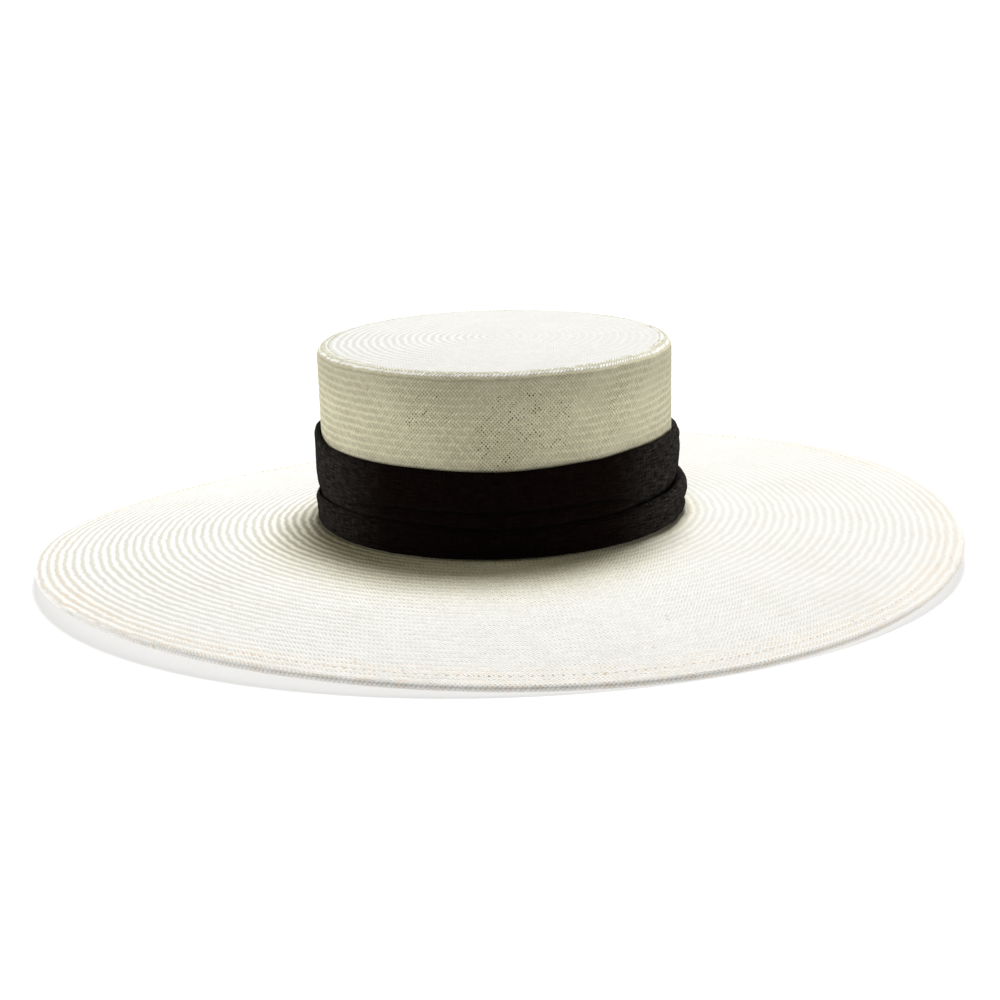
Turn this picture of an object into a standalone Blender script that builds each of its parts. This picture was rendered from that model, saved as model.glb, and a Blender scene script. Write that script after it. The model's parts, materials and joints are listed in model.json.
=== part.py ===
"""Wide-brimmed hat of woven straw with a band of folded linen, crown up, its front towards -Y."""
import math
from collections import namedtuple

import bmesh
import bpy

# Crown, in metres; heights are taken from the headline, where crown and brim meet
CROWN_WIDTH = 0.1672
CROWN_LENGTH = 0.1973
CROWN_HEIGHT = 0.0850
CROWN_FLARE = 0.0012
RIDGE_RADIUS = 0.0060
TIP_RISE = 0.0010
TIP_SLOPE_WIDTH = 0.0420
CROWN_WALL = 0.0014

# Brim: the drop is taken on its upper face at the edge, from the headline down
BRIM_WIDTH = 0.1387
BRIM_WALL = 0.0013
BRIM_DROP = 0.0120
BRIM_TILT = 0.0039
BRIM_WAVE = 0.0054
WAVE_ANGLE = 124.5
FALL_POWER = 1.3
HEM_WIDTH = 0.0090
EDGE_THICKNESS = 0.0029
COLLAR_HEIGHT = 0.0180
TURN_RADIUS = 0.0010

# Band: its depth is how far the fullest fold stands off the crown
BAND_HEIGHT = 0.0420
BAND_DEPTH = 0.0075
CREASE_DEPTH = 0.0011
LAP_THICKNESS = 0.0009
LAP_WIDTH = 0.0260
LAP_ANGLE = 97.0

# Clearance between pieces, and steps round the hat
GAP = 0.0003
STEPS = 64

# Folds of the band, a row for each place round the hat. The angle runs from the wearer's left (+X) by the back
# (90) and the wearer's right (180) to the front (270). Top, crease, pleat and tuck are heights as shares of the
# band's height, where pleat is the middle fold's height above the crease. Roll, upper and nick are shares of the
# band's depth: the lower fold, the smooth upper part, and the tuck pressed into the lower fold.
Fold = namedtuple("Fold", "angle top crease pleat tuck roll upper nick")
FOLDS = (
    Fold(0, 1.00, 0.48, 0.03, 0.17, 1.00, 0.52, 0.16),
    Fold(45, 1.00, 0.45, 0.03, 0.13, 0.80, 0.48, 0.06),
    Fold(90, 1.00, 0.42, 0.03, 0.11, 0.62, 0.45, 0.03),
    Fold(135, 1.00, 0.42, 0.03, 0.10, 0.57, 0.43, 0.03),
    Fold(180, 1.00, 0.40, 0.03, 0.09, 0.56, 0.42, 0.06),
    Fold(220, 1.00, 0.43, 0.04, 0.09, 0.58, 0.42, 0.06),
    Fold(240, 0.99, 0.395, 0.135, 0.10, 0.60, 0.42, 0.02),
    Fold(270, 0.965, 0.335, 0.185, 0.12, 0.62, 0.42, 0.02),
    Fold(300, 1.00, 0.37, 0.17, 0.14, 0.66, 0.43, 0.03),
    Fold(320, 1.03, 0.415, 0.04, 0.15, 0.74, 0.46, 0.06),
    Fold(340, 1.03, 0.47, 0.03, 0.17, 0.92, 0.50, 0.14),
)


def step_angles():
    return [math.tau * step / STEPS for step in range(STEPS)]


def ring_point(angle, out, up):
    """A point at an offset out of the headline's oval, seen from above, and a height over the headline."""
    half_x = CROWN_WIDTH / 2 + out
    half_y = CROWN_LENGTH / 2 + out
    return (half_x * math.cos(angle), half_y * math.sin(angle), up)


def arc(centre, radius, start, end, count):
    """Points (out, up) along an arc, with the angles in degrees."""
    points = []
    for index in range(count + 1):
        turn = math.radians(start + (end - start) * index / count)
        points.append((centre[0] + radius * math.cos(turn), centre[1] + radius * math.sin(turn)))
    return points


def ease(share):
    return share * share * (3 - 2 * share)


def crown_lean(up):
    """How far the crown's side leans out at a height."""
    return CROWN_FLARE * max(up, 0.0) / CROWN_HEIGHT


def crown_face(inset):
    """One face of the crown's wall from its lower edge to the flat of the tip."""
    ridge_up = CROWN_HEIGHT - TIP_RISE - RIDGE_RADIUS
    face = []
    for share in (0.0, 0.3, 0.65):
        up = TURN_RADIUS + (ridge_up - TURN_RADIUS) * share
        face.append((crown_lean(up) - inset, up))
    centre = (crown_lean(ridge_up) - RIDGE_RADIUS, ridge_up)
    face += arc(centre, RIDGE_RADIUS - inset, 0, 90, 4)
    for share in (0.25, 0.6, 1.0):
        out = centre[0] - TIP_SLOPE_WIDTH * share
        face.append((out, CROWN_HEIGHT - TIP_RISE * (1 - ease(share)) - inset))
    return face


def brim_drop(angle, out):
    """How far the brim's upper face lies below the headline; the edge is lowest at two level places."""
    share = max(out, 0.0) / BRIM_WIDTH
    axis = math.radians(WAVE_ANGLE)
    edge_drop = BRIM_DROP + BRIM_WAVE * math.cos(2 * (angle - axis))
    edge_drop += BRIM_TILT * math.cos(angle - axis - math.pi / 2)
    return edge_drop * share ** FALL_POWER


def brim_section():
    """The brim's section as (out, up, falls): points that fall follow the brim's drop at their offset."""
    collar_out = -CROWN_WALL - GAP
    collar_top = (collar_out + crown_lean(COLLAR_HEIGHT), COLLAR_HEIGHT)
    turn_centre = (collar_out + TURN_RADIUS, TURN_RADIUS)
    edge_radius = EDGE_THICKNESS / 2
    edge_centre = (BRIM_WIDTH - edge_radius, -edge_radius)
    hem_start = BRIM_WIDTH - HEM_WIDTH
    top = [collar_top] + arc(turn_centre, TURN_RADIUS, 180, 270, 3)
    top += [(hem_start * share, 0.0) for share in (0.15, 0.35, 0.55, 0.75, 0.9, 1.0)]
    roll = arc(edge_centre, edge_radius, 90, -90, 6)
    under = [(hem_start, -EDGE_THICKNESS), (hem_start - BRIM_WALL, -BRIM_WALL)]
    under += [(hem_start * share, -BRIM_WALL) for share in (0.82, 0.64, 0.46, 0.28, 0.12)]
    under += arc(turn_centre, TURN_RADIUS + BRIM_WALL, 270, 180, 3)
    under.append((collar_top[0] - BRIM_WALL, COLLAR_HEIGHT))
    return top + roll + under


def fold_at(angle):
    """The folds at an angle, eased between the rows of the table."""
    turn = math.degrees(angle) % 360
    rows = FOLDS + (FOLDS[0]._replace(angle=360),)
    for low, high in zip(rows, rows[1:]):
        if low.angle <= turn <= high.angle:
            share = ease((turn - low.angle) / (high.angle - low.angle))
            return Fold(*[a + (b - a) * share for a, b in zip(low, high)])


def band_outer(angle):
    """The band's outer face at an angle as (stand, up), from its lower edge to its top edge."""
    fold = fold_at(angle)
    top = BAND_HEIGHT * fold.top
    crease = BAND_HEIGHT * fold.crease
    pleat = crease + BAND_HEIGHT * fold.pleat
    tuck = BAND_HEIGHT * fold.tuck
    roll = BAND_DEPTH * fold.roll
    upper = BAND_DEPTH * fold.upper
    middle = (roll + upper) / 2
    return [
        (roll * 0.78, GAP),
        (roll * 0.94, tuck * 0.45),
        (roll - BAND_DEPTH * fold.nick, tuck),
        (roll, tuck + (crease - tuck) * 0.4),
        (roll * 0.97, tuck + (crease - tuck) * 0.75),
        (roll * 0.86, crease),
        (upper - CREASE_DEPTH, crease - CREASE_DEPTH * 0.3),
        (middle, crease + (pleat - crease) * 0.4),
        (middle * 0.95, pleat),
        (upper - CREASE_DEPTH * 0.8, pleat + CREASE_DEPTH * 0.2),
        (upper, pleat + (top - pleat) * 0.18),
        (upper * 1.04, pleat + (top - pleat) * 0.55),
        (upper * 0.95, top - CREASE_DEPTH),
        (upper * 0.66, top),
    ]


def lap_at(angle):
    """Extra thickness where the band's end laps over its start at the back."""
    reach = LAP_WIDTH / (CROWN_LENGTH / 2)
    past_end = math.radians(LAP_ANGLE) - angle
    if past_end < 0 or past_end > reach:
        return 0.0
    return LAP_THICKNESS * ease(1 - past_end / reach)


def band_angles():
    """The even steps, and one just before and one just past the lapped end."""
    edge = math.radians(LAP_ANGLE)
    sharp = GAP / (CROWN_LENGTH / 2)
    return sorted(step_angles() + [edge - sharp, edge + sharp])


def extrude_ring(bm, edges, station, place):
    """Extrude a ring of edges and put each new vertex where place(station number) says."""
    made = bmesh.ops.extrude_edge_only(bm, edges=edges)["geom"]
    for vert in [item for item in made if isinstance(item, bmesh.types.BMVert)]:
        vert.co = place(vert[station])
    new_verts = {item for item in made if isinstance(item, bmesh.types.BMVert)}
    return [item for item in made if isinstance(item, bmesh.types.BMEdge) and set(item.verts) <= new_verts]


def ring_mesh(name, angles, section_at, closed):
    """A mesh of rings, one for each point of the section; closed joins the last ring to the first, or else
    both ends are filled."""
    sections = [section_at(angle) for angle in angles]
    bm = bmesh.new()
    station = bm.verts.layers.int.new("station")
    circle = bmesh.ops.create_circle(bm, segments=len(angles), radius=1.0)["verts"]
    bm.edges.ensure_lookup_table()
    for number, vert in enumerate(circle):
        vert[station] = number
        vert.co = sections[number][0]
    first = list(bm.edges)
    ring = first
    for row in range(1, len(sections[0])):
        ring = extrude_ring(bm, ring, station, lambda number, row=row: sections[number][row])
    if closed:
        bmesh.ops.bridge_loops(bm, edges=first + ring)
    else:
        bmesh.ops.contextual_create(bm, geom=first)
        bmesh.ops.contextual_create(bm, geom=ring)
    bmesh.ops.recalc_face_normals(bm, faces=bm.faces)
    mesh = bpy.data.meshes.new(name)
    bm.to_mesh(mesh)
    bm.free()
    mesh.shade_smooth()
    mesh.set_sharp_from_angle(angle=math.radians(40))
    return mesh


def material(name, colour, roughness):
    made = bpy.data.materials.new(name)
    made.use_nodes = True
    shader = made.node_tree.nodes["Principled BSDF"]
    shader.inputs["Base Color"].default_value = (*colour, 1.0)
    shader.inputs["Roughness"].default_value = roughness
    shader.inputs["Metallic"].default_value = 0.0
    return made


def add_piece(name, mesh, finish, height):
    piece = bpy.data.objects.new(name, mesh)
    mesh.materials.append(finish)
    piece.location.z = height
    bpy.context.scene.collection.objects.link(piece)
    return piece


def crown_mesh():
    """Outer face from the tip down, then the inner face back up to the tip."""
    profile = list(reversed(crown_face(0.0))) + crown_face(CROWN_WALL)
    return ring_mesh("crown", step_angles(),
                     lambda angle: [ring_point(angle, out, up) for out, up in profile], closed=False)


def brim_mesh():
    def section_at(angle):
        return [ring_point(angle, out, up - brim_drop(angle, out)) for out, up in brim_section()]
    return ring_mesh("brim", step_angles(), section_at, closed=True)


def hatband_mesh():
    def section_at(angle):
        lap = lap_at(angle)
        outer = [(stand + lap, up) for stand, up in band_outer(angle)]
        top = outer[-1][1]
        inner = [(GAP, top), (GAP, top / 2), (GAP, GAP)]
        return [ring_point(angle, crown_lean(up) + stand, up) for stand, up in outer + inner]
    return ring_mesh("hatband", band_angles(), section_at, closed=True)


def main():
    for old in list(bpy.data.objects):
        bpy.data.objects.remove(old)
    brim = brim_mesh()
    # The lowest part of the edge stands on the ground
    headline = -min(vert.co.z for vert in brim.vertices)
    straw_crown = material("straw_crown", (0.72, 0.66, 0.50), 0.75)
    straw_brim = material("straw_brim", (0.78, 0.74, 0.60), 0.75)
    linen = material("black_linen", (0.012, 0.010, 0.009), 0.9)
    add_piece("crown", crown_mesh(), straw_crown, headline)
    add_piece("brim", brim, straw_brim, headline)
    add_piece("hatband", hatband_mesh(), linen, headline)


main()
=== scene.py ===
"""Wide-brimmed woven straw hat with a folded linen band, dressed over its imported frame."""
import json
import math
from collections import namedtuple

import bmesh
import bpy
from mathutils import Matrix, Vector, noise


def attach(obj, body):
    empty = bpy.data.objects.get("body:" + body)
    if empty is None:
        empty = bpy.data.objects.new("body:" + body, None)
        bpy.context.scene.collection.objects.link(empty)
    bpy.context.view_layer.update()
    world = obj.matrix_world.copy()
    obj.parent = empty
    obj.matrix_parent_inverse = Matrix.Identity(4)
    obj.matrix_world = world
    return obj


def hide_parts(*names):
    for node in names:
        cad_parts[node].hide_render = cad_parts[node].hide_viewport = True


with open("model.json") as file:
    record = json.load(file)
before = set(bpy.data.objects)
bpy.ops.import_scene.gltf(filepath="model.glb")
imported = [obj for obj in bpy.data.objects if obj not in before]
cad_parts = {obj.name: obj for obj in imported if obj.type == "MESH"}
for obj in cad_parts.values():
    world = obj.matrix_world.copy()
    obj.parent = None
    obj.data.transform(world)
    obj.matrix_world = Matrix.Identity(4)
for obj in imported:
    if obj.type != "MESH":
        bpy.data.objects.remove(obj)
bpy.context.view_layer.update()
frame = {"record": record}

# Sizes in metres, as in the solids; heights are taken from the headline
CROWN_WIDTH = 0.1672
CROWN_LENGTH = 0.1973
CROWN_HEIGHT = 0.0850
CROWN_FLARE = 0.0012
RIDGE_RADIUS = 0.0060
TIP_RISE = 0.0010
TIP_SLOPE_WIDTH = 0.0420
CROWN_WALL = 0.0014
BRIM_WIDTH = 0.1387
BRIM_WALL = 0.0013
BRIM_DROP = 0.0120
BRIM_TILT = 0.0039
BRIM_WAVE = 0.0054
WAVE_ANGLE = 124.5
FALL_POWER = 1.3
HEM_WIDTH = 0.0090
EDGE_THICKNESS = 0.0029
COLLAR_HEIGHT = 0.0180
TURN_RADIUS = 0.0010
BAND_HEIGHT = 0.0420
BAND_DEPTH = 0.0075
LAP_THICKNESS = 0.0009
LAP_WIDTH = 0.0260
LAP_ANGLE = 97.0
GAP = 0.0003

MOUNTS = {mount["name"]: mount for mount in frame["record"]["mounts"]}
HEADLINE = MOUNTS["head_opening"]["pos_m"][2]

# Straw rows, and how far the middle of each stands proud of its borders
BRIM_ROWS = 34
BRIM_PITCH = BRIM_WIDTH / BRIM_ROWS
TIP_ROWS = 21
RIDGE_ROWS = 3
WALL_ROWS = 22
ROW_RELIEF = 0.00005
SHALLOW_RELIEF = ROW_RELIEF * 0.6
CROWN_STEPS = 256
BRIM_STEPS = 288
STRAND_PITCH = 0.00185
RIDGE_TIGHTNESS = 0.66

# The hem's running stitch, and the strands laid over the rolled edge
STITCH_HALF_LENGTH = 0.0007
STITCH_SPACING = 0.0042
STITCH_INSET = 0.0087
STITCH_STAND = 0.00008
EDGE_STRAND_RADIUS = 0.00036
EDGE_STRAND_SPACING = 0.00160
EDGE_STRAND_SLANT = 0.0008


# Modelling helpers

def clean_selection():
    if bpy.context.object and bpy.context.object.mode != "OBJECT":
        bpy.ops.object.mode_set(mode="OBJECT")
    bpy.ops.object.select_all(action="DESELECT")


def start_at_point(name, x, z):
    """A new piece in edit mode that is a single vertex in the XZ plane."""
    clean_selection()
    bpy.ops.mesh.primitive_plane_add(size=0.001)
    piece = bpy.context.object
    piece.name = name
    piece.data.name = name
    bpy.ops.object.mode_set(mode="EDIT")
    bpy.ops.mesh.select_all(action="SELECT")
    bpy.ops.mesh.merge(type="CENTER")
    bpy.ops.transform.translate(value=(x, 0.0, z))
    return piece


def draw_profile(piece, points):
    """Extrude a vertex from point to point, and give each vertex its row number."""
    for before, after in zip(points, points[1:]):
        step = (after.out - before.out, 0.0, after.up - before.up)
        bpy.ops.mesh.extrude_region_move(TRANSFORM_OT_translate={"value": step})
    bpy.ops.object.mode_set(mode="OBJECT")
    rows = piece.data.attributes.new("row", "FLOAT", "POINT")
    for vert in piece.data.vertices:
        nearest = min(points, key=lambda point: (vert.co.x - point.out) ** 2 + (vert.co.z - point.up) ** 2)
        rows.data[vert.index].value = nearest.row


def spin_round(steps):
    """Spin the profile an eighth of the way round, then double it three times."""
    bpy.ops.object.mode_set(mode="EDIT")
    bpy.ops.mesh.select_all(action="SELECT")
    eighth = math.tau / 8
    bpy.ops.mesh.spin(steps=steps // 8, angle=eighth, center=(0, 0, 0), axis=(0, 0, 1))
    for turn in (eighth, eighth * 2, eighth * 4):
        bpy.ops.mesh.select_all(action="SELECT")
        bpy.ops.mesh.duplicate()
        bpy.ops.transform.rotate(value=turn, orient_axis="Z", orient_type="GLOBAL", center_override=(0, 0, 0))
    bpy.ops.mesh.select_all(action="SELECT")
    bpy.ops.mesh.remove_doubles(threshold=0.000005)
    bpy.ops.mesh.normals_make_consistent(inside=False)
    bpy.ops.object.mode_set(mode="OBJECT")


def lay_weave_map(piece):
    """A UV map that follows the weave: turns round the hat across, and row numbers up."""
    mesh = piece.data
    rows = mesh.attributes["row"].data
    weave = mesh.uv_layers.new(name="weave")
    turns = [math.atan2(vert.co.y, vert.co.x) / math.tau % 1.0 for vert in mesh.vertices]
    on_axis = [math.hypot(vert.co.x, vert.co.y) < 0.00005 for vert in mesh.vertices]
    for face in mesh.polygons:
        around = [turns[index] for index in face.vertices if not on_axis[index]]
        seam = max(around) - min(around) > 0.5
        around = [turn + 1.0 if seam and turn < 0.5 else turn for turn in around]
        middle = sum(around) / len(around)
        for loop in face.loop_indices:
            index = mesh.loops[loop].vertex_index
            turn = turns[index] + (1.0 if seam and turns[index] < 0.5 else 0.0)
            weave.data[loop].uv = (middle if on_axis[index] else turn, rows[index].value)


def finish_piece(piece, finish, nodes=()):
    piece.data.materials.clear()
    piece.data.materials.append(finish)
    clean_selection()
    piece.select_set(True)
    bpy.context.view_layer.objects.active = piece
    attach(piece, "root")
    if nodes:
        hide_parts(*nodes)
    return piece


def ease(share):
    share = min(max(share, 0.0), 1.0)
    return share * share * (3 - 2 * share)


def arc(centre, radius, start, end, count):
    turns = [math.radians(start + (end - start) * index / count) for index in range(count + 1)]
    return [(centre[0] + radius * math.cos(turn), centre[1] + radius * math.sin(turn)) for turn in turns]


def rounded(centre, radius, count):
    """A quarter turn from straight up to straight out, tighter in the middle than a circle's."""
    turns = [math.pi / 2 * (1 - index / count) for index in range(count + 1)]
    return [(centre[0] + radius * max(math.cos(turn), 0.0) ** RIDGE_TIGHTNESS,
             centre[1] + radius * math.sin(turn) ** RIDGE_TIGHTNESS) for turn in turns]


def crown_lean(up):
    return CROWN_FLARE * max(up, 0.0) / CROWN_HEIGHT


def brim_drop(angle, out):
    """How far the brim's upper face lies below the headline."""
    share = max(out, 0.0) / BRIM_WIDTH
    axis = math.radians(WAVE_ANGLE)
    edge_drop = BRIM_DROP + BRIM_WAVE * math.cos(2 * (angle - axis))
    edge_drop += BRIM_TILT * math.cos(angle - axis - math.pi / 2)
    return edge_drop * share ** FALL_POWER


def ring_point(angle, out, up):
    half_x = CROWN_WIDTH / 2 + out
    half_y = CROWN_LENGTH / 2 + out
    return Vector((half_x * math.cos(angle), half_y * math.sin(angle), up))


# Straw: rows drawn as a profile, spun, and stretched to the oval

# A point of a spun profile: its distance from the axis, its height, and its row number
Spot = namedtuple("Spot", "out up row")

# Where a row's points lie across it, and how high each stands as a share of the relief
ROW_SHAPE = ((0.0, -1.0), (0.14, 0.3), (0.36, 1.0), (0.64, 1.0), (0.86, 0.3))
UNDER_SHAPE = ((0.0, -1.0), (0.3, 0.8), (0.7, 0.8))


def rows_along(path, first_row, count, relief, shape, row_step=1):
    """Points along a path of (out, up), with each row's relief standing to the path's left."""
    lengths = [0.0]
    for (out_a, up_a), (out_b, up_b) in zip(path, path[1:]):
        lengths.append(lengths[-1] + math.hypot(out_b - out_a, up_b - up_a))
    spots = []
    for row in range(count):
        for share, height in shape:
            along = (row + share) / count * lengths[-1]
            segment = max(index for index in range(len(path) - 1) if lengths[index] <= along + 1e-12)
            part = (along - lengths[segment]) / max(lengths[segment + 1] - lengths[segment], 1e-12)
            (out_a, up_a), (out_b, up_b) = path[segment], path[segment + 1]
            span = math.hypot(out_b - out_a, up_b - up_a)
            left = (-(up_b - up_a) / span, (out_b - out_a) / span)
            out = out_a + (out_b - out_a) * part + left[0] * relief * height
            up = up_a + (up_b - up_a) * part + left[1] * relief * height
            spots.append(Spot(out, up, first_row + row_step * (row + share)))
    return spots


def crown_path(inset):
    """The crown's face as tip, ridge and wall, each a list of (distance from the axis, height)."""
    half = CROWN_WIDTH / 2
    ridge_up = CROWN_HEIGHT - TIP_RISE - RIDGE_RADIUS
    centre = (half + crown_lean(ridge_up) - RIDGE_RADIUS, ridge_up)
    tip = []
    for index in range(25):
        out = centre[0] * index / 24
        rise = ease((centre[0] - out) / TIP_SLOPE_WIDTH)
        tip.append((out, CROWN_HEIGHT - TIP_RISE * (1 - rise) - inset))
    ridge = rounded(centre, RIDGE_RADIUS - inset, 20)
    wall = []
    for index in range(9):
        up = ridge_up + (TURN_RADIUS - ridge_up) * index / 8
        wall.append((half + crown_lean(up) - inset, up))
    return tip, ridge, wall


def make_crown():
    tip, ridge, wall = crown_path(0.0)
    outer = rows_along(tip, 0, TIP_ROWS, SHALLOW_RELIEF, ROW_SHAPE)
    outer += rows_along(ridge, TIP_ROWS, RIDGE_ROWS, ROW_RELIEF, ROW_SHAPE)
    outer += rows_along(wall, TIP_ROWS + RIDGE_ROWS, WALL_ROWS, SHALLOW_RELIEF, ROW_SHAPE)
    tip, ridge, wall = crown_path(CROWN_WALL)
    last_row = TIP_ROWS + RIDGE_ROWS + WALL_ROWS
    outer.append(Spot(CROWN_WIDTH / 2 - CROWN_WALL * 0.2, TURN_RADIUS * 0.7, last_row))
    inner = rows_along(wall[::-1], last_row, WALL_ROWS, SHALLOW_RELIEF, UNDER_SHAPE)
    inner += rows_along(ridge[::-1], last_row + WALL_ROWS, RIDGE_ROWS, SHALLOW_RELIEF, UNDER_SHAPE)
    inner += rows_along(tip[::-1], last_row + WALL_ROWS + RIDGE_ROWS, TIP_ROWS, SHALLOW_RELIEF, UNDER_SHAPE)
    inner.append(Spot(0.0, CROWN_HEIGHT - CROWN_WALL, 2 * last_row))
    points = [outer[0]._replace(out=0.0)] + outer[1:] + inner
    piece = start_at_point("crown_straw", points[0].out, points[0].up)
    draw_profile(piece, points)
    spin_round(CROWN_STEPS)
    lay_weave_map(piece)
    stretch = (CROWN_LENGTH - CROWN_WIDTH) / 2
    full_at = CROWN_WIDTH / 2 - RIDGE_RADIUS - CROWN_WALL
    for vert in piece.data.vertices:
        reach = math.hypot(vert.co.x, vert.co.y)
        if reach > 0:
            vert.co.y += stretch * min(reach / full_at, 1.0) * vert.co.y / reach
        vert.co.z += HEADLINE
    piece.data.shade_smooth()
    return piece


def brim_paths():
    """The brim's faces before they fall: collar and turn, top, rolled edge, underside, inner turn and collar."""
    half = CROWN_WIDTH / 2
    collar_out = half - CROWN_WALL - GAP
    collar_top = (collar_out + crown_lean(COLLAR_HEIGHT), COLLAR_HEIGHT)
    turn_centre = (collar_out + TURN_RADIUS, TURN_RADIUS)
    edge_radius = EDGE_THICKNESS / 2
    edge_centre = (half + BRIM_WIDTH - edge_radius, -edge_radius)
    hem_out = half + BRIM_WIDTH - HEM_WIDTH
    inner = [collar_top] + arc(turn_centre, TURN_RADIUS, 180, 270, 4)
    top = [(turn_centre[0], 0.0), (edge_centre[0], 0.0)]
    roll = arc(edge_centre, edge_radius, 90, -90, 12)
    under = [(edge_centre[0], -EDGE_THICKNESS), (hem_out, -EDGE_THICKNESS), (hem_out - BRIM_WALL, -BRIM_WALL)]
    under += [(turn_centre[0], -BRIM_WALL)]
    back = arc(turn_centre, TURN_RADIUS + BRIM_WALL, 270, 180, 4) + [(collar_top[0] - BRIM_WALL, COLLAR_HEIGHT)]
    return inner, top, roll, under, back


def make_brim():
    inner, top, roll, under, back = brim_paths()
    points = [Spot(out, up, -1.0 + index / len(inner)) for index, (out, up) in enumerate(inner[:-1])]
    points += rows_along(top, 0, BRIM_ROWS, ROW_RELIEF, ROW_SHAPE)
    points += [Spot(out, up, BRIM_ROWS + index / 12) for index, (out, up) in enumerate(roll)]
    points += rows_along(under, BRIM_ROWS + 1, BRIM_ROWS, SHALLOW_RELIEF, UNDER_SHAPE)[1:]
    points += [Spot(out, up, 2 * BRIM_ROWS + 1 + index / 6) for index, (out, up) in enumerate(back)]
    points.append(points[0]._replace(row=2 * BRIM_ROWS + 2))
    piece = start_at_point("brim_straw", points[0].out, points[0].up)
    draw_profile(piece, points)
    spin_round(BRIM_STEPS)
    lay_weave_map(piece)
    stretch = (CROWN_LENGTH - CROWN_WIDTH) / 2
    for vert in piece.data.vertices:
        reach = math.hypot(vert.co.x, vert.co.y)
        angle = math.atan2(vert.co.y, vert.co.x)
        vert.co.y += stretch * math.sin(angle)
        vert.co.z = max(vert.co.z + HEADLINE - brim_drop(angle, reach - CROWN_WIDTH / 2), 0.0)
    piece.data.shade_smooth()
    return piece


# Band: a flat strip of linen, folded lengthwise and laid round the crown

# How the folds lie at an angle round the hat, in degrees from the right. Heights are shares of the band's height:
# its top, the crease above the lower roll, the pleat above that, and the tuck in the roll. Depths are shares of the
# band's depth: how far the lower roll and the upper fold stand out, and how deep the tuck is.
Fold = namedtuple("Fold", "angle top crease pleat tuck roll upper nick")
FOLDS = (
    Fold(0, 0.955, 0.41, 0.03, 0.16, 1.00, 0.52, 0.16),
    Fold(45, 1.00, 0.40, 0.03, 0.13, 0.80, 0.48, 0.06),
    Fold(90, 1.00, 0.38, 0.03, 0.11, 0.62, 0.45, 0.03),
    Fold(135, 1.01, 0.36, 0.03, 0.10, 0.50, 0.43, 0.03),
    Fold(180, 1.075, 0.33, 0.03, 0.10, 0.47, 0.43, 0.04),
    Fold(205, 1.00, 0.375, 0.04, 0.09, 0.52, 0.42, 0.10),
    Fold(240, 0.99, 0.395, 0.135, 0.10, 0.60, 0.42, 0.08),
    Fold(270, 0.965, 0.335, 0.185, 0.12, 0.62, 0.42, 0.02),
    Fold(300, 1.00, 0.37, 0.17, 0.24, 0.66, 0.43, 0.02),
    Fold(320, 1.03, 0.395, 0.04, 0.22, 0.76, 0.46, 0.06),
    Fold(340, 1.03, 0.415, 0.03, 0.17, 0.93, 0.50, 0.14),
)
BAND_STATIONS = 340
BAND_POINTS = 124
CLOTH_THICKNESS = 0.0005
CLOTH_STAND = 0.00045
FOLD_RIPPLE = 0.00024
LOWER_RIPPLE = 0.00034
SOFT_RIPPLE = 0.00042
DRAG_RIPPLE = 0.00014
GATHER_DEPTH = 0.0010


def fold_at(angle):
    turn = math.degrees(angle) % 360
    rows = FOLDS + (FOLDS[0]._replace(angle=360),)
    for low, high in zip(rows, rows[1:]):
        if low.angle <= turn <= high.angle:
            share = ease((turn - low.angle) / (high.angle - low.angle))
            return Fold(*[a + (b - a) * share for a, b in zip(low, high)])


def cloth_path(angle, lapped):
    """The strip's outer face as (stand, up) round its folds, from the hidden lower hem to the hidden upper one."""
    fold = fold_at(angle)
    top = BAND_HEIGHT * fold.top
    crease = BAND_HEIGHT * fold.crease
    pleat = crease + BAND_HEIGHT * fold.pleat
    tuck = BAND_HEIGHT * fold.tuck
    roll = BAND_DEPTH * fold.roll
    upper = BAND_DEPTH * fold.upper
    nick = BAND_DEPTH * fold.nick
    middle = (roll + upper) / 2
    lift = LAP_THICKNESS * lapped
    low_hem = CLOTH_STAND + (roll + lift - CLOTH_STAND - 0.0003) * lapped
    high_hem = CLOTH_STAND + (upper + lift - CLOTH_STAND - 0.0003) * lapped
    between = crease - tuck
    rise = pleat - crease
    valley = max(0.0010, upper * 0.34)
    shallow = min(0.0019, rise * 0.45)
    # The lower roll: off the brim, in at the tuck, out again, and over its lip down into the crease
    lower_face = [
        (roll * 0.45, 0.0004), (roll * 0.80, 0.0008), (roll * 0.97, tuck * 0.5), (roll * 0.99, tuck * 0.78),
        (roll - nick - 0.0003, tuck), (roll * 0.99, tuck + 0.0010), (roll * 1.03, tuck + between * 0.42),
        (roll * 1.01, tuck + between * 0.75), (roll * 0.96, crease - 0.0024), (roll * 0.84, crease - 0.0009),
        (roll * 0.62, crease - 0.0002), (valley, crease - 0.0022),
    ]
    # The upper fold, with a narrow pleat above the crease, and without one
    pleated = [
        (middle * 0.66, crease + rise * 0.02), (middle * 0.96, crease + rise * 0.28), (middle, crease + rise * 0.60),
        (middle * 0.86, pleat - rise * 0.10), (upper - shallow, pleat - rise * 0.06),
        (upper - shallow * 0.35, pleat + 0.0008), (upper, pleat + 0.0034),
    ]
    smooth = [
        (upper * 0.40, crease), (upper * 0.50, crease + 0.0009), (upper * 0.61, crease + 0.0018),
        (upper * 0.72, crease + 0.0028), (upper * 0.83, crease + 0.0040), (upper * 0.93, crease + 0.0056),
        (upper, crease + 0.0085),
    ]
    held = ease((fold.pleat - 0.03) / 0.05)
    upper_face = [(a + (c - a) * held, b + (d - b) * held) for (a, b), (c, d) in zip(smooth, pleated)]
    crest = upper_face[-1][1]
    face = lower_face + upper_face + [
        (upper * 1.06, crest + (top - crest) * 0.45), (upper, top - 0.0034), (upper * 0.84, top - 0.0008),
    ]
    start = [(low_hem, 0.0085), (low_hem, 0.0020)]
    end = [(high_hem + 0.0004, top - 0.0004), (high_hem, top - 0.0016), (high_hem, top - 0.0095)]
    return start + [(stand + lift, up) for stand, up in face] + end


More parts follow.
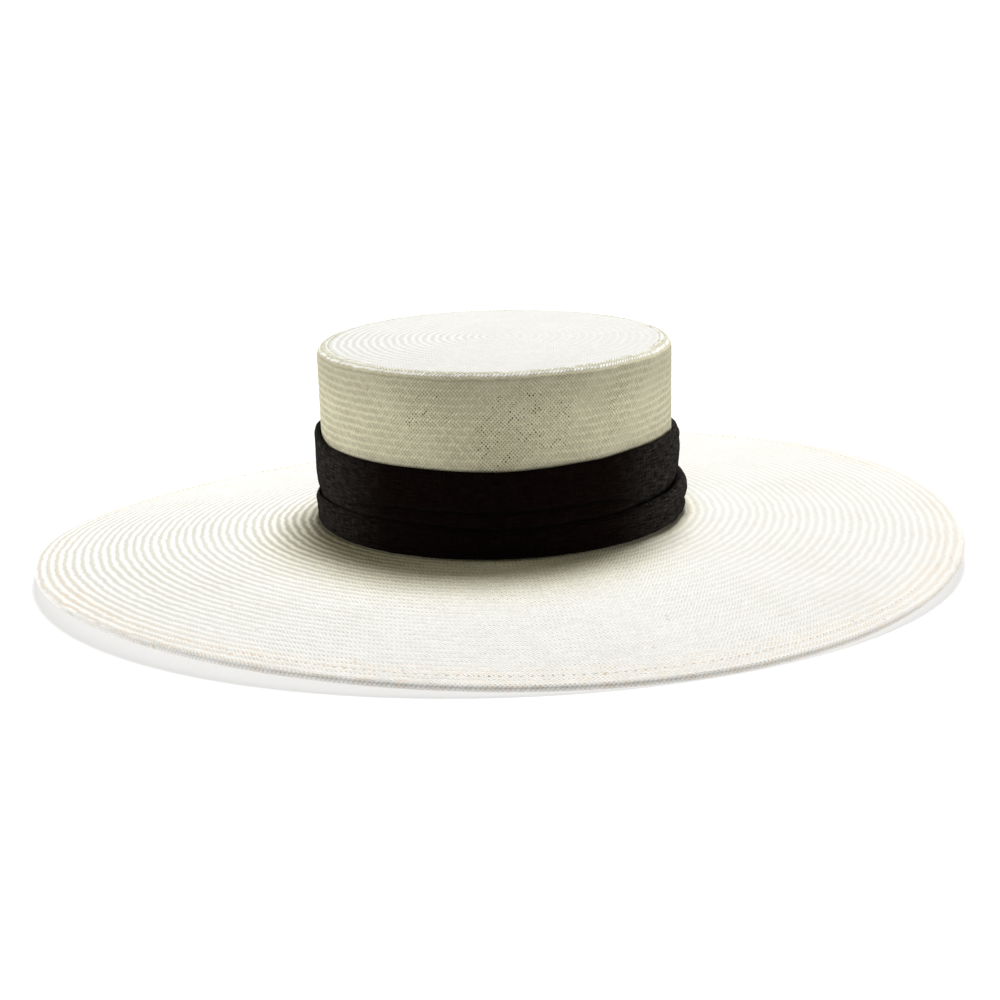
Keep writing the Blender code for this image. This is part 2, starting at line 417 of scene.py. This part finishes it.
def even_points(path, count):
    """Points evenly spaced along a path, with its corners eased."""
    lengths = [0.0]
    for (a, b), (c, d) in zip(path, path[1:]):
        lengths.append(lengths[-1] + math.hypot(c - a, d - b))
    points = []
    segment = 0
    for index in range(count):
        along = lengths[-1] * index / (count - 1)
        while segment < len(path) - 2 and lengths[segment + 1] < along:
            segment += 1
        part = (along - lengths[segment]) / (lengths[segment + 1] - lengths[segment])
        (a, b), (c, d) = path[segment], path[segment + 1]
        points.append((a + (c - a) * part, b + (d - b) * part))
    for _ in range(2):
        points = [points[0]] + [
            ((p[0] + 2 * q[0] + r[0]) / 4, (p[1] + 2 * q[1] + r[1]) / 4)
            for p, q, r in zip(points, points[1:], points[2:])
        ] + [points[-1]]
    return points


def cloth_ripple(angle, up):
    """Soft unevenness of the folded cloth, outwards."""
    x, y = math.cos(angle), math.sin(angle)
    slope = 0.005 * noise.noise(Vector((x * 1.3, y * 1.3, 3.0)))
    folds = noise.noise(Vector((x * 1.5, y * 1.5, (up + slope) * 230)))
    soft = noise.noise(Vector((x * 4.2, y * 4.2, up * 60)))
    drag = noise.noise(Vector((x * 12, y * 12, up * 130)))
    lower = 1 - ease((up - 0.014) / 0.010)
    gathered = max(x, 0.0) ** 6 * noise.noise(Vector((x * 8, y * 8, up * 115)))
    ripple = (FOLD_RIPPLE + LOWER_RIPPLE * lower) * folds + SOFT_RIPPLE * soft + DRAG_RIPPLE * drag
    return ripple + GATHER_DEPTH * gathered


def make_band():
    clean_selection()
    bpy.ops.mesh.primitive_grid_add(x_subdivisions=BAND_STATIONS, y_subdivisions=BAND_POINTS - 1, size=1.0,
                                    calc_uvs=True)
    piece = bpy.context.object
    piece.name = "hatband_linen"
    piece.data.name = "hatband_linen"
    lap_turn = LAP_WIDTH / (CROWN_LENGTH / 2)
    first = math.radians(LAP_ANGLE) - lap_turn
    full_turn = math.tau + lap_turn
    sections = []
    longest = 0.0
    for station in range(BAND_STATIONS + 1):
        angle = first + full_turn * station / BAND_STATIONS
        # The strip's end rises over its start from a little before the lap
        past = (angle - first - math.tau) / lap_turn
        lapped = ease(past * 1.6 + 0.6) if past > -0.4 else 0.0
        points = even_points(cloth_path(angle, lapped), BAND_POINTS)
        longest = max(longest, sum(math.dist(p, q) for p, q in zip(points, points[1:])))
        sections.append((angle, points))
    for vert in piece.data.vertices:
        station = round((vert.co.x + 0.5) * BAND_STATIONS)
        index = round((vert.co.y + 0.5) * (BAND_POINTS - 1))
        angle, points = sections[station]
        stand, up = points[index]
        shown = ease((stand - CLOTH_STAND - 0.0004) / 0.001)
        stand += shown * cloth_ripple(angle, up)
        up += shown * 0.5 * cloth_ripple(angle + 1.0, up) * ease(up / 0.006)
        vert.co = ring_point(angle, crown_lean(up) + stand, up + HEADLINE)
    bpy.ops.object.mode_set(mode="EDIT")
    bpy.ops.mesh.select_all(action="SELECT")
    bpy.ops.mesh.normals_make_consistent(inside=False)
    bpy.ops.object.mode_set(mode="OBJECT")
    outward = sum(face.normal.dot(Vector((face.center.x, face.center.y, 0.0))) for face in piece.data.polygons)
    if outward < 0:
        piece.data.flip_normals()
    thick = piece.modifiers.new("cloth", "SOLIDIFY")
    thick.thickness = CLOTH_THICKNESS
    thick.offset = -1.0
    bpy.ops.object.modifier_apply(modifier="cloth")
    piece.data.shade_smooth()
    length = sum(math.dist(ring_point(a[0], 0.004, 0), ring_point(b[0], 0.004, 0))
                 for a, b in zip(sections, sections[1:]))
    return piece, longest, length


# Thread and edge strands: modelled once and copied round the brim

def copy_round(name, model, places):
    """One piece made of copies of a small model, one at each place (a 4x4 matrix)."""
    bm = bmesh.new()
    for place in places:
        copy = model.data.copy()
        copy.transform(place)
        bm.from_mesh(copy)
        bpy.data.meshes.remove(copy)
    model.data.clear_geometry()
    bm.to_mesh(model.data)
    bm.free()
    model.name = name
    model.data.name = name
    model.data.shade_smooth()
    return model


def tube_model(points, radii, sides):
    """A small closed tube through points, extruded ring by ring from a circle and closed at both ends."""
    clean_selection()
    bpy.ops.mesh.primitive_circle_add(vertices=sides, radius=1.0, fill_type="NGON")
    model = bpy.context.object
    bpy.ops.object.mode_set(mode="EDIT")
    bpy.ops.mesh.select_all(action="SELECT")
    for _ in points[1:]:
        bpy.ops.mesh.extrude_region_move(TRANSFORM_OT_translate={"value": (0, 0, 1.0)})
    bpy.ops.object.mode_set(mode="OBJECT")
    frames = []
    for index, point in enumerate(points):
        ahead = Vector(points[min(index + 1, len(points) - 1)]) - Vector(points[max(index - 1, 0)])
        frames.append((Vector(point), ahead.to_track_quat("Z", "Y").to_matrix(), radii[index]))
    for vert in model.data.vertices:
        where, turn, radius = frames[round(vert.co.z)]
        vert.co = where + turn @ Vector((vert.co.x * radius, vert.co.y * radius, 0.0))
    bpy.ops.object.mode_set(mode="EDIT")
    bpy.ops.mesh.select_all(action="SELECT")
    bpy.ops.mesh.normals_make_consistent(inside=False)
    bpy.ops.object.mode_set(mode="OBJECT")
    return model


def brim_places(out, up, spacing, start=0.0):
    """Even places round the brim as matrices: X along the edge, Y outwards and down the brim, Z off its face."""
    steps = 1440
    spots = [ring_point(math.tau * index / steps, out, HEADLINE + up - brim_drop(math.tau * index / steps, out))
             for index in range(steps + 1)]
    lengths = [0.0]
    for a, b in zip(spots, spots[1:]):
        lengths.append(lengths[-1] + (b - a).length)
    count = round(lengths[-1] / spacing)
    places = []
    segment = 0
    for index in range(count):
        along = lengths[-1] * (index + start) / count
        while lengths[segment + 1] < along:
            segment += 1
        part = (along - lengths[segment]) / (lengths[segment + 1] - lengths[segment])
        angle = math.tau * (segment + part) / steps
        here = spots[segment].lerp(spots[segment + 1], part)
        further = out + 0.001
        outer = ring_point(angle, further, HEADLINE + up - brim_drop(angle, further))
        along_edge = (spots[segment + 1] - spots[segment]).normalized()
        outwards = (outer - here).normalized()
        off_face = along_edge.cross(outwards).normalized() * -1
        if off_face.z < 0:
            off_face.negate()
        outwards = off_face.cross(along_edge)
        place = Matrix((along_edge, outwards, off_face)).transposed().to_4x4()
        place.translation = here
        places.append(place)
    return places


def make_hem_stitches():
    """A running stitch that holds the turned hem, seen on the upper face and on the underside."""
    long = STITCH_HALF_LENGTH
    points = [(-long, 0, -0.00025), (-long * 0.8, 0, -0.00006), (-long * 0.3, 0, 0.00006), (long * 0.3, 0, 0.00006),
              (long * 0.8, 0, -0.00006), (long, 0, -0.00025)]
    radii = [0.00012, 0.00016, 0.00018, 0.00018, 0.00016, 0.00012]
    model = tube_model(points, radii, 6)
    out = BRIM_WIDTH - STITCH_INSET
    above = brim_places(out, STITCH_STAND, STITCH_SPACING)
    below = brim_places(out, -EDGE_THICKNESS - STITCH_STAND, STITCH_SPACING, 0.5)
    flip = Matrix.Rotation(math.pi, 4, "X")
    return copy_round("hem_stitches", model, above + [place @ flip for place in below])


def make_edge_strands():
    """Strands laid slanting over the rolled edge, from the upper face round to the underside."""
    radius = EDGE_THICKNESS / 2
    thick = EDGE_STRAND_RADIUS
    points = []
    for index in range(8):
        turn = math.radians(62 - 21 * index)
        reach = radius - thick + 0.00009 * (1 + math.sin(turn))
        slant = EDGE_STRAND_SLANT * (index / 7 - 0.5) * 2
        points.append((slant, reach * math.cos(turn), reach * math.sin(turn)))
    radii = [thick * share for share in (0.5, 0.9, 1.0, 1.0, 1.0, 1.0, 0.9, 0.5)]
    model = tube_model(points, radii, 6)
    return copy_round("edge_strands", model, brim_places(BRIM_WIDTH - radius, -radius, EDGE_STRAND_SPACING))


# Finishes

class Wire:
    """A socket that does arithmetic: an expression on wires adds its Math nodes."""

    def __init__(self, graph, socket):
        self.graph = graph
        self.socket = socket

    def __add__(self, other):
        return self.graph.math("ADD", self, other)

    def __radd__(self, other):
        return self.graph.math("ADD", other, self)

    def __sub__(self, other):
        return self.graph.math("SUBTRACT", self, other)

    def __rsub__(self, other):
        return self.graph.math("SUBTRACT", other, self)

    def __mul__(self, other):
        return self.graph.math("MULTIPLY", self, other)

    def __rmul__(self, other):
        return self.graph.math("MULTIPLY", other, self)

    def __truediv__(self, other):
        return self.graph.math("DIVIDE", self, other)

    def __pow__(self, other):
        return self.graph.math("POWER", self, other)

    def __abs__(self):
        return self.graph.math("ABSOLUTE", self)


class Graph:
    """Shader nodes built by expressions."""

    def __init__(self, tree):
        self.tree = tree

    def node(self, kind, settings, sockets, output=0):
        made = self.tree.nodes.new("ShaderNode" + kind)
        for key, value in settings.items():
            setattr(made, key, value)
        for key, value in sockets.items():
            if isinstance(value, Wire):
                self.tree.links.new(value.socket, made.inputs[key])
            else:
                made.inputs[key].default_value = value
        return Wire(self, made.outputs[output])

    def math(self, operation, *values):
        return self.node("Math", {"operation": operation}, dict(enumerate(values)))

    def floor(self, value):
        return self.math("FLOOR", value)

    def smooth(self, value, low, high):
        """0 at low, 1 at high, and smooth between."""
        return self.node("MapRange", {"interpolation_type": "SMOOTHSTEP"},
                         {"Value": value, "From Min": low, "From Max": high})

    def mix(self, factor, first, second):
        return self.node("Mix", {"data_type": "RGBA"}, {0: factor, 6: first, 7: second}, output=2)

    def vector(self, x=0.0, y=0.0, z=0.0):
        return self.node("CombineXYZ", {}, {0: x, 1: y, 2: z})

    def split(self, wire):
        parts = self.node("SeparateXYZ", {}, {0: wire}).socket.node.outputs
        return Wire(self, parts[0]), Wire(self, parts[1]), Wire(self, parts[2])

    def noise(self, where, scale, detail=2.0):
        return self.node("TexNoise", {}, {"Vector": where, "Scale": scale, "Detail": detail})

    def speckle(self, x, y, z):
        """An even random number for each place."""
        return self.node("TexWhiteNoise", {"noise_dimensions": "3D"}, {"Vector": self.vector(x, y, z)})

    def place(self):
        return self.node("TexCoord", {}, {}, output=3)


class Finish(Graph):
    """A material and its shader."""

    def __init__(self, name, **fixed):
        self.material = bpy.data.materials.new(name)
        self.material.use_nodes = True
        super().__init__(self.material.node_tree)
        self.shader = self.tree.nodes["Principled BSDF"]
        for socket, value in fixed.items():
            self.shader.inputs[socket.replace("_", " ")].default_value = value

    def feed(self, socket, wire):
        self.tree.links.new(wire.socket, self.shader.inputs[socket])


def rgb(red, green, blue):
    return (red, green, blue, 1.0)


# How light straw is before its strands are told apart
MIDDLE_TONE = 0.72

Weave = namedtuple("Weave", "tone swing side hole stray top_a outward place height")


def weave(straw, rows, first_rows, grow, widest, crisp, calm_sides, dot_share, hole_share):
    """Strands that cross slanting, each over two and under two, so that rows of / and rows of \\ alternate.

    rows is where the row numbers turn back on the inner face. A row has (its number + first_rows) * grow
    strands, and widest at most. crisp is how clearly single strands show, and calm_sides how much less they do
    at the hat's sides, where the straw is also a little darker. dot_share is how dark the painted shade in the
    pits between rows is, and hole_share the share of strands with open gaps. One slant is told from the other
    by painted light and shade, lit on one and shaded on the other, growing towards the hat's sides.
    """
    # The rows waver a little, and outward counts them from the hat's middle on both faces
    place = straw.place()
    turn, row_place, _ = straw.split(straw.node("UVMap", {"uv_map": "weave"}, {}))
    row_sway = (straw.noise(place, 45.0, 1.0) - 0.5) * 0.45
    strand_sway = (straw.noise(place, 190.0, 1.0) - 0.5) * 0.50
    row_place = row_place + row_sway + strand_sway
    row = straw.floor(row_place)
    outward = rows - abs(row + (0.5 - rows))
    strands = straw.math("ROUND", straw.math("MINIMUM", (outward + first_rows) * grow, widest))
    # Two sets of slanting strands, a and b: where a point lies in each, and which set is on top there
    x = turn * strands
    y = row_place * 2
    falling, rising = y + x, y - x
    number_a, number_b = straw.floor(falling), straw.floor(rising)
    part_a, part_b = falling - number_a, rising - number_b
    level = straw.math("FLOORED_MODULO", number_a + number_b, 4.0)
    top_a = straw.math("LESS_THAN", level, 1.5)
    along = level + part_a - 2 + top_a * (part_b - part_a + 2)
    across = part_b + top_a * (part_a - part_b)
    # The top strand's arch over the two that it crosses, its edges and its fibre
    arch = straw.math("SINE", along * (math.pi / 2))
    arch = straw.math("MAXIMUM", arch, 0.0) ** 0.6
    edge = abs(across * 2 - 1)
    fibre = abs(straw.math("SINE", across * math.tau))
    number = number_b + top_a * (number_a - number_b)
    own = straw.speckle(number, top_a, 1.0)
    # The nearest corner between four strands, where pits and open gaps lie
    near_a, near_b = straw.floor(falling + 0.5), straw.floor(rising + 0.5)
    corner = straw.math("MAXIMUM", abs(falling - near_a), abs(rising - near_b))
    # Painted light and shade on the slants: one set of strands lit and the other shaded, changing over from the
    # hat's left to its right
    side = straw.math("COSINE", turn * math.tau)
    swing = (1 - top_a * 2) * side
    patch = straw.noise(place, 30.0)
    # Each strand's tone: its own random share, painted shade along its edges and at its ends where it dips under,
    # and its fibres
    strand = (own - 0.5) * 0.14 - straw.smooth(edge, 0.5, 1.0) * 0.14 - (1 - arch) * 0.13
    strand = strand + (fibre - 0.5) * 0.08 + 0.07
    clear = 1 - straw.smooth(abs(side), 0.35, 0.85) * calm_sides
    tone = MIDDLE_TONE + (patch - 0.5) * 0.16 + strand * clear * crisp - (1 - clear) * 0.09
    # Painted shade in the pits at the strands' corners, darker along the row borders
    border = straw.math("LESS_THAN", straw.math("FLOORED_MODULO", near_a + near_b, 4.0), 0.5)
    dot = (1 - straw.smooth(corner, 0.12, 0.36)) * (0.3 + border * 0.7)
    tone = tone - dot * clear * dot_share
    hole = 0.0
    if hole_share:
        # Open gaps run in short slanting lines, inside loose patches of the weave
        run_a = straw.speckle(near_a, straw.floor(near_b / 5.0), 11.0)
        run_b = straw.speckle(straw.floor(near_a / 5.0), near_b, 12.0)
        chosen = straw.math("GREATER_THAN", straw.math("MAXIMUM", run_a, run_b), 1 - hole_share)
        open_one = straw.math("GREATER_THAN", straw.speckle(near_a, near_b, 13.0), 0.3)
        cluster = straw.smooth(straw.noise(place, 34.0, 1.0), 0.46, 0.60)
        cluster = cluster * (1 - straw.smooth(abs(side), 0.55, 0.85))
        width = straw.speckle(near_a, near_b, 14.0) * 0.16 + 0.14
        hole = chosen * open_one * cluster * (1 - straw.smooth(corner - width, -0.08, 0.08))
        # Painted shade round the corners in these loose patches
        tone = tone - cluster * (1 - straw.smooth(corner, 0.10, 0.30)) * 0.22
    stray = straw.math("GREATER_THAN", straw.speckle(number_a, number_b, 15.0), 0.9992)
    height = (0.3 + arch * 0.7) * (1 - edge ** 3 * 0.6) + fibre * 0.18 + own * 0.15
    return Weave(tone, swing, side, hole, stray, top_a, outward, place, height)


def finish_straw(straw, colour, height, depth):
    straw.feed("Base Color", colour)
    bump = straw.node("Bump", {}, {"Strength": 1.0, "Distance": depth, "Height": height})
    straw.feed("Normal", bump)
    return straw.material


def crown_finish():
    straw = Finish("crown_weave", Roughness=0.7)
    straw.shader.inputs["Specular IOR Level"].default_value = 0.25
    grow = math.tau * 2 * (CROWN_WIDTH + CROWN_LENGTH) / 2 / CROWN_WIDTH
    strands = round(math.pi * (CROWN_WIDTH + CROWN_LENGTH) / 2 / STRAND_PITCH)
    rows = TIP_ROWS + RIDGE_ROWS + WALL_ROWS
    woven = weave(straw, rows, first_rows=0.0, grow=grow, widest=float(strands), crisp=1.3, calm_sides=0.0,
                  dot_share=0.20, hole_share=0.12)
    on_wall = straw.smooth(woven.outward, TIP_ROWS + 1.4, TIP_ROWS + 2.6)
    calm = MIDDLE_TONE + (woven.tone - MIDDLE_TONE) * (0.6 + on_wall * 0.4)
    # How strong the painted light and shade on the slants is, on the wall and on the tip
    slant_light_amount = on_wall * 0.125 + (1 - on_wall) * (0.085 - woven.side * 0.04)
    tone = straw.smooth(calm + woven.swing * slant_light_amount, 0.05, 1.0)
    # The wall's straw is darker and yellower than the tip's: partly the straw's own colour, partly painted shade on
    # the upright wall below the lit top
    wall = straw.mix(tone, rgb(0.230, 0.206, 0.110), rgb(0.755, 0.718, 0.518))
    tip = straw.mix(tone, rgb(0.43, 0.42, 0.335), rgb(0.85, 0.85, 0.835))
    colour = straw.mix(on_wall, tip, wall)
    # On the ridge's first two rows the strands of one set show as ticks with painted light, with painted shade
    # between them on the first row and wall straw on the second; the rows below them get painted shade
    ridge = straw.smooth(woven.outward, TIP_ROWS - 0.4, TIP_ROWS + 0.4)
    ridge = ridge * (1 - straw.smooth(woven.outward, TIP_ROWS + 1.6, TIP_ROWS + 2.4))
    tick = straw.smooth(woven.tone, 0.56, 0.82)
    painted_lit_ticks = straw.mix(tick, rgb(0.36, 0.34, 0.22), rgb(0.95, 0.95, 0.92))
    painted_ridge_shade = straw.mix(tick, rgb(0.34, 0.32, 0.21), rgb(0.78, 0.77, 0.66))
    under = straw.smooth(woven.outward, TIP_ROWS + 0.6, TIP_ROWS + 1.4)
    colour = straw.mix(ridge, colour, straw.mix(woven.top_a, straw.mix(under, painted_ridge_shade, wall), painted_lit_ticks))
    # Painted shade on the wall's first rows below the ridge, fading downwards
    shaded = straw.smooth(woven.outward, TIP_ROWS + 1.6, TIP_ROWS + 2.4)
    shaded = shaded * (1 - straw.smooth(woven.outward, TIP_ROWS + 3.0, TIP_ROWS + 8.0))
    colour = straw.mix(shaded * 0.22, colour, rgb(0.10, 0.09, 0.05))
    below_ridge = straw.smooth(woven.outward, TIP_ROWS + 3.5, TIP_ROWS + 4.5)
    # Open gaps are painted near black below the ridge, as painted shade of the crown's inside seen through them
    colour = straw.mix(woven.hole * 0.92 * below_ridge, colour, rgb(0.03, 0.024, 0.014))
    colour = straw.mix(woven.stray * 0.45 * below_ridge, colour, rgb(0.42, 0.20, 0.08))
    return finish_straw(straw, colour, woven.height, depth=0.00022)


# How far the painted shadow, warm straw round the band's foot, lies off the hat's middle
SHADOW_TO_LEFT = 0.0095
SHADOW_TO_FRONT = 0.0335


def brim_finish():
    straw = Finish("brim_weave", Roughness=0.7)
    straw.shader.inputs["Specular IOR Level"].default_value = 0.25
    rows = BRIM_ROWS + 0.5
    first_rows = (CROWN_WIDTH + CROWN_LENGTH) / 4 / BRIM_PITCH
    woven = weave(straw, rows, first_rows=first_rows, grow=math.tau * 2, widest=4000.0, crisp=1.0, calm_sides=0.75,
                  dot_share=0.60, hole_share=0.0)
    # Painted light and shade on the strands of the two slants
    tone = straw.smooth(woven.tone + woven.swing * (0.150 - woven.side * 0.060), 0.05, 1.0)
    colour = straw.mix(tone, rgb(0.52, 0.50, 0.41), rgb(0.93, 0.93, 0.92))
    # Painted shadow of the crown at the band's foot, as warmer and darker straw reaching further out in front and to
    # the left, and painted shade in the first rows all round the band
    x, y, _ = straw.split(woven.place)
    across = (x + SHADOW_TO_LEFT) / (CROWN_WIDTH / 2)
    along = (y + SHADOW_TO_FRONT) / (CROWN_LENGTH / 2)
    foot = 1 - straw.smooth((across * across + along * along) ** 0.5, 0.72, 1.40)
    foot = straw.math("MAXIMUM", foot, (1 - straw.smooth(woven.outward, 1.4, 4.6)) * 0.7)
    painted_warm_shade = straw.mix(straw.smooth(tone, 0.15, 1.0), rgb(0.26, 0.225, 0.11), rgb(0.90, 0.86, 0.60))
    colour = straw.mix(foot, colour, painted_warm_shade)
    # Flecks of darker straw in the last rows before the hem, most of them in front
    front = 1 - straw.smooth(y, -0.12, 0.08)
    near_edge = straw.smooth(woven.outward, BRIM_ROWS - 4.6, BRIM_ROWS - 2.6)
    fleck = straw.smooth(straw.noise(woven.place, 260.0, 3.0), 0.42, 0.62)
    tinted = straw.mix(tone, rgb(0.62, 0.44, 0.26), rgb(0.95, 0.93, 0.88))
    colour = straw.mix(near_edge * (fleck * 0.55 + 0.05) * (0.45 + front * 0.55), colour, tinted)
    colour = straw.mix(woven.stray * 0.35, colour, rgb(0.50, 0.28, 0.12))
    return finish_straw(straw, colour, woven.height, depth=0.00017)


def linen_finish(length, width):
    """Slubby black linen, with painted sheen: paler on the hat's left and right, where its nap catches the light."""
    linen = Finish("black_linen", Roughness=0.8, Sheen_Weight=0.02, Sheen_Roughness=0.35)
    linen.shader.inputs["Specular IOR Level"].default_value = 0.0
    along, across, _ = linen.split(linen.node("UVMap", {"uv_map": "UVMap"}, {}))
    along = along * length
    across = across * width
    yarn = 0.00055
    warp = linen.math("SINE", along * (math.pi / yarn))
    weft = linen.math("SINE", across * (math.pi / yarn))
    cloth = warp * weft * 0.5 + 0.5
    slub = linen.noise(linen.vector(along * 140, across * 1800, 0.0), 1.0, 3.0)
    slub_up = linen.noise(linen.vector(along * 1800, across * 160, 4.0), 1.0, 3.0)
    tone = linen.smooth(cloth * 0.15 + slub * 0.58 + slub_up * 0.42, 0.40, 0.76)
    x, _, _ = linen.split(linen.place())
    # Painted sheen on the hat's left and right
    painted_side_sheen = linen.smooth(abs(x), CROWN_WIDTH * 0.28, CROWN_WIDTH * 0.52)
    dark = linen.mix(painted_side_sheen, rgb(0.0035, 0.0019, 0.0016), rgb(0.0055, 0.0050, 0.0047))
    pale = linen.mix(painted_side_sheen, rgb(0.011, 0.0070, 0.0060), rgb(0.074, 0.066, 0.059))
    linen.feed("Base Color", linen.mix(tone * tone, dark, pale))
    height = cloth * 0.5 + slub * 1.5 + slub_up * 1.1
    linen.feed("Normal", linen.node("Bump", {}, {"Strength": 1.0, "Distance": 0.00030, "Height": height}))
    return linen.material


def edge_finish():
    """Strands over the edge, with painted light and shade: pale where they face up, dark straw below, with uneven
    strands.
    """
    straw = Finish("edge_straw", Roughness=0.7)
    place = straw.place()
    _, _, facing = straw.split(straw.node("NewGeometry", {}, {}, output=1))
    uneven = straw.noise(place, 420.0)
    # Painted light on strands that face up, painted shade on those that face down
    upper = straw.smooth(facing + (uneven - 0.5) * 0.4, 0.15, 0.85)
    low = straw.mix(straw.smooth(uneven, 0.35, 0.65), rgb(0.085, 0.074, 0.042), rgb(0.25, 0.225, 0.145))
    straw.feed("Base Color", straw.mix(upper, low, rgb(0.95, 0.95, 0.92)))
    return straw.material


def thread_finish(name, pale, deep):
    """Twisted thread."""
    thread = Finish(name, Roughness=0.7)
    where = thread.place()
    thread.feed("Base Color", thread.mix(thread.smooth(thread.noise(where, 420.0), 0.35, 0.65), deep, pale))
    twist = thread.noise(where, 2600.0, 1.0)
    thread.feed("Normal", thread.node("Bump", {}, {"Strength": 0.5, "Distance": 0.0001, "Height": twist}))
    return thread.material


# The hat

finish_piece(make_crown(), crown_finish(), ("crown",))
finish_piece(make_brim(), brim_finish(), ("brim",))
band, cloth_width, cloth_length = make_band()
finish_piece(band, linen_finish(cloth_length, cloth_width), ("hatband",))
finish_piece(make_hem_stitches(), thread_finish("hem_thread", rgb(0.90, 0.80, 0.67), rgb(0.80, 0.67, 0.52)))
finish_piece(make_edge_strands(), edge_finish())


# Floor, camera and light

def lay_floor():
    """White paper that glows a little far from the lights, so it looks evenly white to the horizon."""
    clean_selection()
    bpy.ops.mesh.primitive_circle_add(vertices=96, radius=60.0, fill_type="NGON")
    floor = bpy.context.object
    floor.name = "studio_floor"
    paper = Finish("floor_paper", Roughness=0.9)
    paper.shader.inputs["Base Color"].default_value = rgb(0.42, 0.42, 0.42)
    paper.shader.inputs["Specular IOR Level"].default_value = 0.0
    paper.shader.inputs["Emission Strength"].default_value = 1.0
    x, y, _ = paper.split(paper.place())
    away = (x * x + y * y) ** 0.5
    glow = paper.smooth(away, 0.22, 0.9)
    paper.feed("Emission Color", paper.mix(glow, rgb(0.60, 0.60, 0.60), rgb(1.0, 1.0, 1.0)))
    floor.data.materials.append(paper.material)


def set_camera():
    """The photograph's angle: its lens, height and slight roll, aimed at the crown's foot."""
    down = math.radians(12.769)
    roll = math.radians(-1.533)
    distance = 1.150
    target = Vector((0.00086, 0.0, HEADLINE + 0.00469))
    ahead = Vector((0.0, math.cos(down), -math.sin(down)))
    above = Vector((0.0, math.sin(down), math.cos(down)))
    right = Vector((1.0, 0.0, 0.0))
    rolled_right = right * math.cos(roll) + above * math.sin(roll)
    rolled_up = above * math.cos(roll) - right * math.sin(roll)
    data = bpy.data.cameras.new("camera")
    data.lens = 85.17
    data.sensor_width = 36.0
    data.clip_end = 100.0
    camera = bpy.data.objects.new("camera", data)
    camera.matrix_world = Matrix((rolled_right, rolled_up, -ahead)).transposed().to_4x4()
    camera.matrix_world.translation = target - ahead * distance
    bpy.context.scene.collection.objects.link(camera)
    bpy.context.scene.camera = camera


def add_light(name, place, aim, size, power):
    data = bpy.data.lights.new(name, "AREA")
    data.shape = "RECTANGLE"
    data.size, data.size_y = size
    data.energy = power
    lamp = bpy.data.objects.new(name, data)
    towards = Vector(aim) - Vector(place)
    lamp.matrix_world = Matrix.Translation(place) @ towards.to_track_quat("-Z", "Y").to_matrix().to_4x4()
    bpy.context.scene.collection.objects.link(lamp)


def light_studio():
    """Soft light from above and behind and from both sides, in a dim room with a white horizon."""
    world = bpy.data.worlds.new("studio")
    bpy.context.scene.world = world
    world.use_nodes = True
    room = Graph(world.node_tree)
    _, _, up = room.split(room.node("TexCoord", {}, {}))
    horizon = 1 - room.smooth(abs(up), 0.03, 0.14)
    sky = world.node_tree.nodes["Background"]
    sky.inputs["Strength"].default_value = 1.0
    room.tree.links.new(room.mix(horizon, rgb(0.125, 0.118, 0.098), rgb(1.0, 1.0, 1.0)).socket, sky.inputs["Color"])
    add_light("overhead", (0.23, 0.88, 2.40), (0.0, 0.0, 0.03), (0.75, 0.75), 75.0)
    add_light("left_side", (-1.1, 0.05, 0.17), (0.0, 0.0, 0.06), (0.5, 0.25), 4.6)
    add_light("right_side", (1.1, 0.05, 0.17), (0.0, 0.0, 0.06), (0.5, 0.25), 3.2)
    view = bpy.context.scene.view_settings
    view.view_transform = "Standard"
    view.look = "None"


lay_floor()
set_camera()
light_studio()
